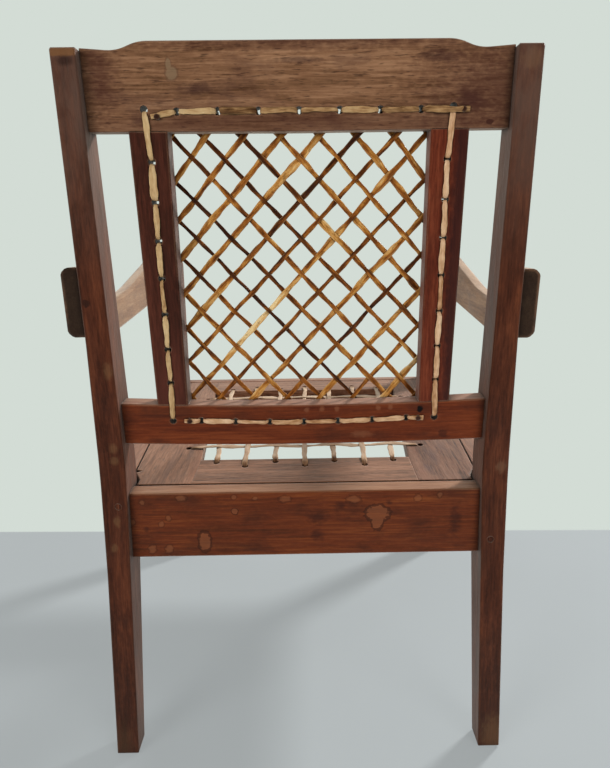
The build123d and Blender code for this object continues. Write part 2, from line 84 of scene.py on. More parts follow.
def setCamera():
    wide, high = view["frame"]
    lens = bpy.data.cameras.new("camera")
    lens.sensor_width = view["sensor"]
    lens.lens = view["focalPixels"] / high * lens.sensor_width
    lens.shift_x = (wide / 2 - view["middle"][0]) / high
    lens.shift_y = (view["middle"][1] - high / 2) / high
    lens.clip_start = view["nearest"]
    camera = addObject("camera", lens)
    aim = Matrix.Rotation(math.pi + view["yaw"], 4, "Z")
    aim = aim @ Matrix.Rotation(math.pi / 2 - view["pitch"], 4, "X")
    aim = aim @ Matrix.Rotation(view["roll"], 4, "Z")
    camera.matrix_world = Matrix.Translation(view["place"]) @ aim
    bpy.context.scene.camera = camera


setCamera()
print("camera set")


# Materials

def linear(hexColour):  # from sRGB
    channels = [int(hexColour[k : k + 2], 16) / 255 for k in (0, 2, 4)]
    return (*[c / 12.92 if c <= 0.04045 else ((c + 0.055) / 1.055) ** 2.4 for c in channels], 1)


def addNode(tree, kind, inputs=(), ramp=(), **settings):
    # inputs go by name or number, and a node among them stands for its first output
    made = tree.nodes.new("ShaderNode" + kind)
    for name, value in settings.items():
        setattr(made, name, value)
    for socket, value in dict(inputs).items():
        if isinstance(value, bpy.types.Node):
            value = value.outputs[0]
        if isinstance(value, bpy.types.NodeSocket):
            tree.links.new(value, made.inputs[socket])
        else:
            made.inputs[socket].default_value = value
    if ramp:
        stops = made.color_ramp.elements
        stops[0].position, stops[1].position = ramp[0][0], ramp[-1][0]
        stops[0].color, stops[1].color = linear(ramp[0][1]), linear(ramp[-1][1])
        for spot, colour in ramp[1:-1]:
            stops.new(spot).color = linear(colour)
    return made


def newMaterial(name):
    material = bpy.data.materials.new(name)
    material.use_nodes = True
    material.node_tree.nodes.clear()
    return material, material.node_tree


def perMillimetres(*sizes):  # texture scale that makes one feature as long as each size
    return [1000 / size for size in sizes]


grainTurns = {"x": (0, 0, 0), "y": (0, 0, -math.pi / 2), "z": (0, math.pi / 2, 0)}
shiftWay = (1, 0.7, 0.3)  # offsets move the patterns along this
nearRays = 6  # that look for edges and hollows

oldHardwood = {
    "grain": "x",
    "offset": 0.0,  # of the pattern, so that no two pieces share one
    "dark": "3E1B0D",
    "mid": "6C3519",
    "light": "94532C",
    "mottleShare": 0.2,
    "pore": "200D07",
    "poreShare": 0.4,
    "clouded": "30180F",  # clouds that old oil has left
    "cloudShare": 0.5,
    "endGrain": "2C1A12",  # where the fibres are cut across, which soaks up oil and dirt
    "endShare": 0.6,
    "bleached": "7A5947",  # where light has dried the wood, from no share up to the whole share
    "bleachShare": 0.0,
    "bleachSpan": (0.40, 0.85),  # between these heights
    "bleachLeast": 0.45,  # of the share, between the patches
    "worn": "A8795A",  # on rubbed edges
    "wornShare": 0.55,
    "wear": 0.003,  # how far from an edge it is rubbed
    "dust": "96735E",  # and dry wood, with painted sheen, on faces that look up
    "dustShare": 0.6,
    "dustLeast": 0.35,
    "grimeAndShade": "120805",  # dirt, and painted shade, where surfaces meet and inside holes
    "grimeAndShadeShare": 0.92,
    "grimeAndShadeReach": 0.011,
    "roughness": 0.46,
    "duller": 0.1,  # what it gains or loses in places
    "glossier": 0.08,
    "marks": (),
}

woodSurface = {
    "IOR": 1.5,
    "Specular IOR Level": 0.12,  # the oil has gone dull
    "Sheen Weight": 0.45,  # fine dust and raised fibres, pale at a grazing angle
    "Sheen Roughness": 0.4,
    "Sheen Tint": (0.88, 0.76, 0.65, 1),
}

woodBumps = {"fibres": (0.5, 0.0006), "planed": (0.3, 0.004)}  # strength, and height in metres
woodTones = (("dark", 0.36), ("mid", 0.5), ("light", 0.66))  # at these heights of the grain's noise
grainWeights = {"figure": 0.55, "streaks": 0.45}

# mm along, across and through the grain, then detail, roughness and distortion
woodNoises = {
    "figure": ((190, 15, 15), 5, 0.6, 0.7),
    "streaks": ((55, 2.6, 2.6), 3, 0.6, 0.2),
    "pores": ((13, 1.7, 1.7), 2, 0.5, 0.0),
    "clouds": ((75, 34, 34), 5, 0.62, 0.3),
    "mottle": ((7, 4, 4), 2, 0.5, 0.0),
}

# a layer's share changes while what it follows, a noise or a slope, is between these
woodSpans = {
    "pores": (0.57, 0.7),
    "mottle": (0.5, 0.72),
    "clouds": (0.5, 0.66),
    "bleachPatches": (0.62, 0.42),
    "endGrain": (0.75, 0.93),
    "edges": (0.985, 0.87),  # cosine between the rounded normal and the true one
    "edgePatches": (0.36, 0.6),
    "upward": (0.45, 0.95),
    "dustPatches": (0.38, 0.56),
    "hollows": (0.3, 0.88),
    "gloss": (0.3, 0.7),
}

usualMark = {
    "face": "Y",  # marks are on rear faces, or on top ones where this is Z
    "facing": (0.3, 0.6),
    "ragged": 1.2,
    "solid": 0.8,  # a mark is whole up to here from its middle, and gone at its rim
    "rim": 1.1,
    "ringPlace": 1.0,
    "ringHalf": 0.16,
}


def nearestSpot(tree, place, face, spots):
    # 0 in the middle of the nearest spot and 1 at its rim
    least = None
    for x, far, halfWide, halfFar in spots:
        flat, size = [-x / halfWide, 0, 0], [1 / halfWide, 0, 0]
        other = 2 if face == "Y" else 1
        flat[other], size[other] = -far / halfFar, 1 / halfFar
        scaled = addNode(tree, "Mapping", {"Vector": place, "Location": flat, "Scale": size})
        away = addNode(tree, "VectorMath", {0: scaled}, operation="LENGTH").outputs["Value"]
        if least is not None:
            away = addNode(tree, "Math", {0: least, 1: away}, operation="MINIMUM")
        least = away
    return least


def markLayers(tree, place, facing, mottle, marks):
    # the share and colour of each water, oil or rub mark and each painted shadow, and of the dark
    # ring round it
    layers = []
    for mark in [{**usualMark, **mark} for mark in marks]:
        colour, strength = mark["tint"]
        onFace = addNode(tree, "MapRange", enumerate((facing[mark["face"]], *mark["facing"])))
        spot = nearestSpot(tree, place, mark["face"], mark["spots"])
        swing = addNode(tree, "Math", {0: mottle, 1: 0.5}, operation="SUBTRACT")
        away = addNode(tree, "Math", {0: swing, 1: mark["ragged"], 2: spot},
                       operation="MULTIPLY_ADD")
        span = away, mark["rim"], mark["solid"], 0, strength
        parts = [(addNode(tree, "MapRange", enumerate(span)), colour)]
        if "ring" in mark:
            colour, strength = mark["ring"]
            ring = addNode(tree, "Math", {0: away, 1: mark["ringPlace"], 2: mark["ringHalf"]},
                           operation="COMPARE")
            ring = addNode(tree, "Math", {0: ring, 1: strength}, operation="MULTIPLY")
            parts.append((ring, colour))
        for share, colour in parts:
            share = addNode(tree, "Math", {0: share, 1: onFace}, operation="MULTIPLY")
            layers.append((share, colour))
    return layers


def oiledHardwood(name, **changes):
    # dense red-brown hardwood, planed and oiled long ago: streaks along the grain, pores drawn
    # twice as coarse as real ones, clouded oil, water marks and painted shadows, rubbed edges,
    # dust with painted sheen on top faces, and grime with painted shade in hollows
    look = {**oldHardwood, **changes}
    material, tree = newMaterial(name)
    place = addNode(tree, "TexCoord").outputs["Object"]
    shift = [look["offset"] * share for share in shiftWay]
    turned = addNode(tree, "Mapping", {"Vector": place, "Location": shift,
                                       "Rotation": grainTurns[look["grain"]]})
    noises = {}
    for layer, (sizes, detail, roughness, distortion) in woodNoises.items():
        space = addNode(tree, "Mapping", {"Vector": turned, "Scale": perMillimetres(*sizes)})
        noises[layer] = addNode(tree, "TexNoise", {
            "Vector": space, "Scale": 1, "Detail": detail, "Roughness": roughness,
            "Distortion": distortion})
    mottle, clouds = noises["mottle"], noises["clouds"]

    figure = addNode(tree, "Math", {0: noises["figure"], 1: grainWeights["figure"]},
                     operation="MULTIPLY")
    grain = addNode(tree, "Math", {0: noises["streaks"], 1: grainWeights["streaks"], 2: figure},
                    operation="MULTIPLY_ADD")
    tone = addNode(tree, "ValToRGB", {0: grain},
                   ramp=[(height, look[kept]) for kept, height in woodTones])

    surface = addNode(tree, "NewGeometry").outputs["Normal"]
    facing = addNode(tree, "SeparateXYZ", {0: surface}).outputs
    alongGrain = addNode(tree, "Math", {0: facing[look["grain"].upper()]}, operation="ABSOLUTE")
    rounded = addNode(tree, "Bevel", {"Radius": look["wear"]}, samples=nearRays)
    bend = addNode(tree, "VectorMath", {0: rounded, 1: surface}, operation="DOT_PRODUCT")
    hollow = addNode(tree, "AmbientOcclusion", {"Distance": look["grimeAndShadeReach"]}, samples=nearRays)
    height = addNode(tree, "SeparateXYZ", {0: place}).outputs["Z"]
    span = height, *look["bleachSpan"], 0, look["bleachShare"]
    shares = {"bleach": addNode(tree, "MapRange", enumerate(span),
                                interpolation_type="SMOOTHSTEP")}
    for layer, followed, least, most in (
        ("pores", noises["pores"], 0, look["poreShare"]),
        ("mottle", mottle, 0, look["mottleShare"]),
        ("clouds", clouds, 0, look["cloudShare"]),
        ("bleachPatches", clouds, look["bleachLeast"], 1),
        ("endGrain", alongGrain, 0, look["endShare"]),
        ("edges", bend.outputs["Value"], 0, look["wornShare"]),
        ("edgePatches", clouds, 0, 1),
        # dust and painted sheen on faces that look up
        ("upward", facing["Z"], 0, look["dustShare"]),
        ("dustPatches", grain, look["dustLeast"], 1),
        # grime and painted shade in hollows and holes
        ("hollows", hollow.outputs["AO"], look["grimeAndShadeShare"], 0),
        ("gloss", clouds, look["roughness"] + look["duller"], look["roughness"] - look["glossier"]),
    ):
        span = followed, *woodSpans[layer], least, most
        shares[layer] = addNode(tree, "MapRange", enumerate(span))
    for layer, patches in (("bleach", "bleachPatches"), ("edges", "edgePatches"),
                           ("upward", "dustPatches")):
        shares[layer] = addNode(tree, "Math", {0: shares[layer], 1: shares[patches]},
                                operation="MULTIPLY")

    layers = [(shares["pores"], look["pore"]), (shares["mottle"], look["light"]),
              (shares["clouds"], look["clouded"]), (shares["bleach"], look["bleached"])]
    layers += markLayers(tree, place, facing, mottle, look["marks"])
    layers += [(shares["endGrain"], look["endGrain"]), (shares["edges"], look["worn"]),
               (shares["upward"], look["dust"]), (shares["hollows"], look["grimeAndShade"])]
    for share, colour in layers:
        tone = addNode(tree, "Mix", {0: share, 6: tone, 7: linear(colour)},
                       data_type="RGBA").outputs[2]

    relief = addNode(tree, "Math", {0: noises["streaks"], 1: noises["pores"]}, operation="SUBTRACT")
    normal = rounded
    for height, bump in ((relief, "fibres"), (clouds, "planed")):
        strength, depth = woodBumps[bump]
        normal = addNode(tree, "Bump", {"Height": height, "Strength": strength, "Distance": depth,
                                        "Normal": normal})
    shader = addNode(tree, "BsdfPrincipled", {"Base Color": tone, "Roughness": shares["gloss"],
                                              "Normal": normal, **woodSurface})
    addNode(tree, "OutputMaterial", {"Surface": shader})
    return material


def dress(woodName, *pieces, **changes):
    material = oiledHardwood(woodName, **changes)
    for piece in pieces:
        slots = cad[piece].data.materials
        slots.clear()
        slots.append(material)


# a spot is (x, z, half width, half height), or (x, y, half width, half depth) on a top face;
# a tint or a ring is (colour, strength)
postLeftMarks = (
    {"spots": ((0.2506, 0.9157, 0.02, 0.005),), "tint": ("7A5230", 0.7)},
    {"spots": ((0.2505, 0.9065, 0.0115, 0.006),),
     "tint": ("2C1A14", 0.75), "solid": 0.4, "ragged": 0.5},
    {"spots": ((0.2598, 0.6427, 0.0052, 0.0055), (0.2228, 0.8163, 0.0022, 0.03)),
     "tint": ("1E0F0A", 0.7)},
    {"spots": ((0.2431, 0.5567, 0.0062, 0.0131), (0.248, 0.4522, 0.0065, 0.0083),
               (0.2482, 0.4341, 0.0065, 0.007), (0.2569, 0.3118, 0.0054, 0.0075),
               (0.2511, 0.35, 0.0053, 0.0088)), "tint": ("82603F", 0.27), "solid": 0.5},
    # darker towards the foot: painted shade
    {"spots": ((0.257, 0.03, 0.04, 0.2),), "tint": ("200F08", 0.45), "solid": 0.2},
    {"spots": ((0.262, 0.022, 0.015, 0.035),), "tint": ("5E4228", 0.25), "solid": 0.3},
)
postRightMarks = (
    {"spots": ((-0.2599, 0.4169, 0.008, 0.0099), (-0.2544, 0.905, 0.014, 0.012)),
     "tint": ("7A5A42", 0.35), "solid": 0.5},
    # darker towards the foot: painted shade
    {"spots": ((-0.257, 0.03, 0.04, 0.2),), "tint": ("200F08", 0.45), "solid": 0.2},
    {"spots": ((-0.263, 0.018, 0.02, 0.036),), "tint": ("6A4C30", 0.4), "solid": 0.5},
)
stileLeftMarks = (
    {"spots": ((0.1715, 0.53, 0.03, 0.09),), "tint": ("5E2E22", 0.5), "solid": 0.2, "ragged": 0.5},
)
stileRightMarks = (
    {"spots": ((-0.1905, 0.69, 0.0165, 0.3),),
     "tint": ("2E1614", 0.8), "solid": 0.6, "ragged": 0.5},
)
topRailMarks = (
    {"spots": ((0.1398, 0.8965, 0.0072, 0.0078), (0.1425, 0.905, 0.0034, 0.0075)),
     "tint": ("80684F", 0.75), "solid": 0.7, "ragged": 0.45, "ring": ("4A2E22", 0.3)},
    {"spots": ((0.1121, 0.8808, 0.021, 0.0075), (0.1787, 0.8493, 0.0112, 0.0083),
               (-0.1913, 0.8665, 0.02, 0.0124), (-0.1553, 0.9111, 0.0275, 0.0069),
               (-0.0018, 0.9084, 0.0329, 0.004)), "tint": ("3C2420", 0.6), "solid": 0.3},
    {"spots": ((-0.2156, 0.8434, 0.0045, 0.0032),), "tint": ("1E0F0A", 0.8)},
    {"spots": ((-0.225, 0.88, 0.11, 0.08), (0, 0.929, 0.25, 0.012), (0.22, 0.9, 0.025, 0.06)),
     "tint": ("42211A", 0.68), "solid": 0.2},
    {"spots": ((0, 0.842, 0.33, 0.0165),), "tint": ("42211A", 0.52), "solid": 0.5, "ragged": 0.25},
)
lowerRailMarks = (
    {"spots": ((-0.0749, 0.463, 0.0159, 0.0057),), "tint": ("8A563A", 0.38), "solid": 0.4},
    {"spots": ((-0.0041, 0.498, 0.0039, 0.0042), (-0.0236, 0.4991, 0.0039, 0.0042),
               (-0.0431, 0.4988, 0.0039, 0.0042), (-0.0972, 0.4993, 0.0039, 0.0042),
               (-0.1127, 0.5004, 0.0039, 0.0042)), "tint": ("8A563A", 0.45), "solid": 0.5},
    {"spots": ((-0.1514, 0.4965, 0.0042, 0.0052),), "tint": ("080404", 1.0)},
    {"spots": ((-0.1828, 0.4626, 0.0066, 0.0057),), "tint": ("35170E", 0.6)},
)
rearApronMarks = (
    {"spots": ((0.1379, 0.3127, 0.0088, 0.0155), (-0.0979, 0.3499, 0.0167, 0.0123),
               (-0.0974, 0.338, 0.0085, 0.0122), (0.0952, 0.3564, 0.0045, 0.0046)),
     "tint": ("8A5436", 0.4), "ragged": 0.8, "ring": ("2A120A", 0.6)},
    {"spots": ((0.0272, 0.3732, 0.0081, 0.0058), (0.1853, 0.3478, 0.0043, 0.0047),
               (0.1949, 0.3395, 0.0041, 0.0044), (0.2096, 0.3024, 0.0061, 0.0068),
               (0.1871, 0.302, 0.0061, 0.0068), (0.2345, 0.3428, 0.004, 0.0044),
               (0.219, 0.3711, 0.004, 0.0044), (-0.1525, 0.3716, 0.0054, 0.0059),
               (-0.1815, 0.3755, 0.0041, 0.0044), (0.0958, 0.3769, 0.004, 0.0036),
               (0.0676, 0.3749, 0.004, 0.0036), (-0.0655, 0.3715, 0.0108, 0.0058),
               (0.1669, 0.3767, 0.008, 0.0044)),
     "tint": ("8E5A3A", 0.33), "solid": 0.5, "ring": ("2A120A", 0.35)},
    {"spots": ((-0.047, 0.3626, 0.0095, 0.0073), (-0.0157, 0.3455, 0.0163, 0.0119),
               (-0.0154, 0.3187, 0.011, 0.0105), (-0.204, 0.3375, 0.0096, 0.027),
               (-0.1133, 0.3658, 0.0047, 0.0044), (0.2157, 0.3321, 0.0051, 0.0057)),
     "tint": ("351810", 0.65), "solid": 0.3},
    # painted shadow of the right post, across the right end of the apron's top
    {"face": "Z", "spots": ((-0.228, 0.236, 0.035, 0.03),), "tint": ("2E1F16", 0.65), "solid": 0.4},
)
seatLeftMarks = (
    {"face": "Z", "spots": ((0.158, 0.155, 0.012, 0.09),),
     "tint": ("6E3A24", 0.55), "solid": 0.3, "ragged": 0.8},
    {"face": "Z", "spots": ((0.2, 0.15, 0.006, 0.06), (0.178, 0.1, 0.005, 0.05)),
     "tint": ("5A4038", 0.5), "solid": 0.3},
)
seatRightMarks = (
    {"face": "Z", "spots": ((-0.195, 0.133, 0.013, 0.035), (-0.179, 0.175, 0.009, 0.02),
                            (-0.215, 0.1, 0.01, 0.03)),
     "tint": ("463032", 0.6), "solid": 0.2, "ragged": 1.6},
    {"face": "Z", "spots": ((-0.168, 0.19, 0.008, 0.03), (-0.172, 0.11, 0.007, 0.03)),
     "tint": ("6E3C28", 0.4), "solid": 0.3},
    # painted shadow of the right post on the seat rail's rear corner
    {"face": "Z", "spots": ((-0.236, 0.232, 0.035, 0.03),), "tint": ("33251E", 0.65), "solid": 0.3},
)

postWood = {
    "grain": "z", "dark": "341609", "mid": "4C2515", "light": "663620", "poreShare": 0.3,
    "worn": "7E563C", "wornShare": 0.3,
    "bleached": "604C41", "bleachShare": 0.6, "bleachSpan": (0.64, 0.88),
}
armWood = {
    "grain": "y", "dark": "6E4C34", "mid": "9C7454", "light": "B8926C", "clouded": "6A4A38",
    "roughness": 0.4, "wear": 0.007, "dust": "A88C70", "endGrain": "1A100B", "endShare": 0.92,
}
# a darker copy of the arm wood, for the left arm: painted shade
shadedArmWood = {**armWood, "mid": "89664B", "light": "A18161"}
seatWood = {
    "dark": "321A10", "mid": "784D35", "light": "9C7057", "clouded": "462A20", "poreShare": 0.75,
    "dust": "8F6D56", "dustShare": 0.32, "roughness": 0.55,
}
# a darker copy of the seat wood, for the right seat rail: painted shade
shadedSeatWood = {
    **seatWood, "dark": "2A1710", "mid": "6B432F", "light": "845C47", "dust": "80604D",
}
pegWood = {**postWood, "mid": "3A1B0F", "bleachShare": 0, "wornShare": 0}

dress("oiledHardwoodPostLeft", "rear_post_left", **postWood, offset=0.2, marks=postLeftMarks)
dress("oiledHardwoodPostRight", "rear_post_right", **postWood, offset=1.4, marks=postRightMarks)
dress("oiledHardwoodLegs", "front_leg_left", "front_leg_right", **postWood, offset=2.3)
dress("bleachedHardwoodTopRail", "top_rail", offset=3.1, dark="593B24", mid="825C41",
      light="A47B5B", poreShare=0.6, clouded="4A2E26", dust="8A6A52", marks=topRailMarks)
dress("oiledHardwoodLowerRail", "lower_back_rail", offset=4.2, dark="501F0D", mid="662C13",
      light="7B3B1C", poreShare=0.15, dust="9A7058", dustShare=0.85, marks=lowerRailMarks)
dress("brownHardwoodStileLeft", "back_stile_left", grain="z", offset=5.3, dark="2A140C",
      mid="3F1E14", light="572C1F", poreShare=0.3, marks=stileLeftMarks)
dress("redHardwoodStileRight", "back_stile_right", grain="z", offset=6.1, dark="41170C",
      mid="5F2716", light="7A3A23", poreShare=0.25, marks=stileRightMarks)
dress("oiledHardwoodRearApron", "rear_apron", offset=7.4, dark="4C2411", mid="622C15",
      light="7A3F1D", poreShare=0.2, dust="997053", dustShare=0.9, marks=rearApronMarks)
dress("oiledHardwoodFrontApron", "front_apron", offset=8.5)
dress("oiledHardwoodSideAprons", "side_apron_left", "side_apron_right", grain="y", offset=9.2)
dress("shadedRubbedHardwoodArmLeft", "arm_left", **shadedArmWood, offset=10.1)
dress("rubbedHardwoodArmRight", "arm_right", **armWood, offset=11.7)
dress("wornHardwoodSeatLeft", "seat_side_rail_left", **seatWood, grain="y", offset=12.6,
      marks=seatLeftMarks)
dress("shadedWornHardwoodSeatRight", "seat_side_rail_right", **shadedSeatWood, grain="y", offset=17.3,
      marks=seatRightMarks)
dress("wornHardwoodSeatEnds", "seat_rear_rail", "seat_front_rail", **seatWood, offset=13.8)
dress("sawnHardwoodCleats", "seat_cleat_rear", "seat_cleat_front", "seat_cleat_left",
      "seat_cleat_right", dark="4A2A18", mid="6B4430", light="86604A", roughness=0.6, offset=14.3)
dress("whittledHardwoodPegs", "rear_joint_pegs", "front_joint_pegs", "side_joint_pegs", "arm_pegs",
      **pegWood, offset=15.2)
dress("darkEndGrainPegs", "thong_end_pegs", "seat_thong_wedges", dark="1E100B", mid="341D14",
      light="4A2E22", wornShare=0.2, offset=16.2)
print("wood dressed")


dryRawhide = {
    "tones": ((0.0, "33180A"), (0.22, "5C300F"), (0.42, "8F521C"), (0.6, "B27834"),
              (0.78, "D09E5C"), (1.0, "E6C68E")),
    "contrast": 1.5,  # of the patches of colour
    "fibreContrast": 0.5,
    "patch": (24, 6),  # mm along and across the thong
    "fibre": (16, 1.3),
    "speck": (8, 4.5),
    "speckSpan": (0.52, 0.66),
    "spot": "4A260E",
    "spotShare": 0.5,
    "rim": "C8A06A",
    "rimShare": 0.5,
    "rimSpan": (0.0020, 0.0030),  # from the middle of the thong
    # dirt, and painted shade, where a thong meets the wood or passes under another
    "grimeAndShade": "1E0F07",
    "grimeAndShadeShare": 0.7,
    "grimeAndShadeReach": 0.006,
    "grimeAndShadeSpan": (0.3, 0.85),
    "relief": (0.35, 0.0004),  # strength, and height in metres
}
rawhideSurface = {"Roughness": 0.45, "IOR": 1.53, "Specular IOR Level": 0.15}


def rawhide(name, **changes):
    # raw hide cut in strips and dried hard: horny, mottled like tortoiseshell, pale at its edges
    look = {**dryRawhide, **changes}
    material, tree = newMaterial(name)
    along, across, tone = [addNode(tree, "Attribute", attribute_name=kept).outputs["Fac"]
                           for kept in ("along", "across", "tone")]
    strip = addNode(tree, "CombineXYZ", {"X": along, "Y": across})
    noises = []
    for sizes, detail in ((look["patch"], 4), (look["fibre"], 3), (look["speck"], 3)):
        space = addNode(tree, "Mapping", {"Vector": strip, "Scale": (*perMillimetres(*sizes), 1)})
        noises.append(addNode(tree, "TexNoise", {"Vector": space, "Scale": 1, "Detail": detail}))
    patches, fibres, specks = noises

    shade = tone
    for noise, contrast in ((patches, look["contrast"]), (fibres, look["fibreContrast"])):
        swing = addNode(tree, "Math", {0: noise, 1: 0.5}, operation="SUBTRACT")
        shade = addNode(tree, "Math", {0: swing, 1: contrast, 2: shade}, operation="MULTIPLY_ADD")
    colour = addNode(tree, "ValToRGB", {0: shade}, ramp=look["tones"])

    fromMiddle = addNode(tree, "Math", {0: across}, operation="ABSOLUTE")
    hollow = addNode(tree, "AmbientOcclusion", {"Distance": look["grimeAndShadeReach"]}, samples=nearRays)
    spotShare, rimShare, grimeAndShadeShare = [addNode(tree, "MapRange", enumerate(span)) for span in (
        (specks, *look["speckSpan"], 0, look["spotShare"]),
        (fromMiddle, *look["rimSpan"], 0, look["rimShare"]),
        (hollow.outputs["AO"], *look["grimeAndShadeSpan"], look["grimeAndShadeShare"], 0),
    )]
    rimShare = addNode(tree, "Math", {0: rimShare, 1: fibres}, operation="MULTIPLY")
    for share, over in ((spotShare, "spot"), (rimShare, "rim"), (grimeAndShadeShare, "grimeAndShade")):
        colour = addNode(tree, "Mix", {0: share, 6: colour, 7: linear(look[over])},
                         data_type="RGBA").outputs[2]

    strength, depth = look["relief"]
    bump = addNode(tree, "Bump", {"Height": fibres, "Strength": strength, "Distance": depth})
    shader = addNode(tree, "BsdfPrincipled", {"Base Color": colour, "Normal": bump,
                                              **rawhideSurface})
    addNode(tree, "OutputMaterial", {"Surface": shader})
    return material


backRawhide = rawhide("tortoiseshellRawhideLattice")
paleStrips = {"contrast": 0.9, "patch": (14, 5), "spotShare": 0.15, "rimShare": 0.3}
stitchRawhide = rawhide("creamRawhideStitches", **paleStrips, tones=(
    (0.0, "3E2614"), (0.2, "69482A"), (0.45, "A98358"), (0.7, "C4A476"), (1.0, "D8BE92")))
tanRawhide = rawhide("tanRawhideStitches", **paleStrips, tones=(
    (0.0, "40261A"), (0.2, "6E4630"), (0.45, "AA7C54"), (0.7, "CFA680"), (1.0, "E0C09C")))
seatStrips = {**paleStrips, "patch": (20, 6), "spotShare": 0.1}
seatRawhide = rawhide("paleRawhideSeat", **seatStrips, tones=(
    (0.0, "4A2E1E"), (0.25, "8E6C50"), (0.5, "B4967A"), (0.75, "CAB096"), (1.0, "DCC8B0")))
print("rawhide mixed")


# Thongs: copies of a blank strip, each bent along its way through the frame

thong = {
    "steps": 72,
    "shortSteps": 36,
    "edgeRounding": 0.28,  # of the blank, which is one unit thick
    "edgeSegments": 3,
    "holeRadius": 0.0045,
    "bendRadius": 0.0026,
    "bendPoints": 7,
    "width": 0.0065,
    "thickness": 0.0016,
    "stitchThickness": 0.0017,
    "crown": 0.12,  # how much thicker it is along its middle, as a share
    "lift": 0.0022,  # of a thong where it passes over another
    "risePoints": 9,  # between two crossings
    "riseFrom": 0.12,
    "aboveWood": 0.0002,
    "clearOfHole": 0.004,  # no crossing is nearer to a hole than this
    "widthDrift": 0.2,
    "widthWave": 0.05,
    "sideDrift": 0.0006,
    "sideWave": 0.11,
    "twist": math.radians(16),
    "twistWave": 0.09,
    "tuck": 0.003,  # over this length a thong narrows into its hole
    "tucked": 0.8,
    "probe": 4e-4,  # the heading is measured this far ahead and behind
    "offRim": 0.7,  # from the rim of its hole, in thicknesses
    "slack": 0.01,  # thongs may miss each other by this share and still cross
    "smoothBelow": math.radians(50),
    "patternShift": 0.37,
}
driftWaves = ((1, 0.6), (0.43, 0.3), (0.19, 0.15))  # length and height of each, as shares

# the first seed of each kind of thong, then the steps from one to the next and from row to row
seeds = {
    "lattice": (0, 7, 200), "stitches": (0, 5, 31), "seat": (400, 11, 100), "under": (700, 1, 0),
}


def seedOf(kind, number, row=0):
    first, step, rowStep = seeds[kind]
    return first + number * step + row * rowStep


def deselectAll():
    bpy.ops.object.select_all(action="DESELECT")


def selectEdges(mesh, wanted):
    shape = bmesh.from_edit_mesh(mesh)
    bpy.ops.mesh.select_all(action="DESELECT")
    for edge in shape.edges:
        edge.select_set(wanted(*[corner.co for corner in edge.verts]))
    bmesh.update_edit_mesh(mesh)


def stripBlank(name, steps):
    # a bar one unit long, wide and thick, with rounded edges and rings to bend at
    def longEdge(a, b):
        onCorner = min(abs(a.y), abs(b.y), abs(a.z), abs(b.z)) > 0.49
        return abs(a.x - b.x) > 1e-4 and onCorner

    deselectAll()
    bpy.ops.mesh.primitive_cube_add(size=1)
    blank = bpy.context.object
    blank.name = name
    bpy.ops.object.mode_set(mode="EDIT")
    bpy.ops.mesh.select_mode(type="EDGE")
    selectEdges(blank.data, lambda a, b: abs(a.y - b.y) > 0.5)
    bpy.ops.mesh.subdivide(number_cuts=1)
    selectEdges(blank.data, lambda a, b: abs(a.x - b.x) > 0.5)
    bpy.ops.mesh.subdivide(number_cuts=steps - 1)
    selectEdges(blank.data, longEdge)
    bpy.ops.mesh.bevel(offset=thong["edgeRounding"], segments=thong["edgeSegments"], affect="EDGES")
    bpy.ops.object.mode_set(mode="OBJECT")
    return blank


def roundedWay(corners):
    # a path through corners in a plane, with each corner replaced by a bend
    corners = [np.array(corner, float) for corner in corners]
    way = [corners[0]]
    for before, corner, after in zip(corners, corners[1:], corners[2:]):
        back, onward = before - corner, after - corner
        backLength, onwardLength = np.linalg.norm(back), np.linalg.norm(onward)
        cut = min(thong["bendRadius"], backLength / 2, onwardLength / 2)
        first = corner + back / backLength * cut
        last = corner + onward / onwardLength * cut
        for share in np.linspace(0, 1, thong["bendPoints"]):
            left = 1 - share
            way.append(left**2 * first + 2 * share * left * corner + share**2 * last)
    return np.array(way + [corners[-1]])


def drift(distance, wavelength, seed):
    chance = random.Random(seed)
    return sum(height * np.sin(2 * math.pi * (distance / (wavelength * size) + chance.random()))
               for size, height in driftWaves)


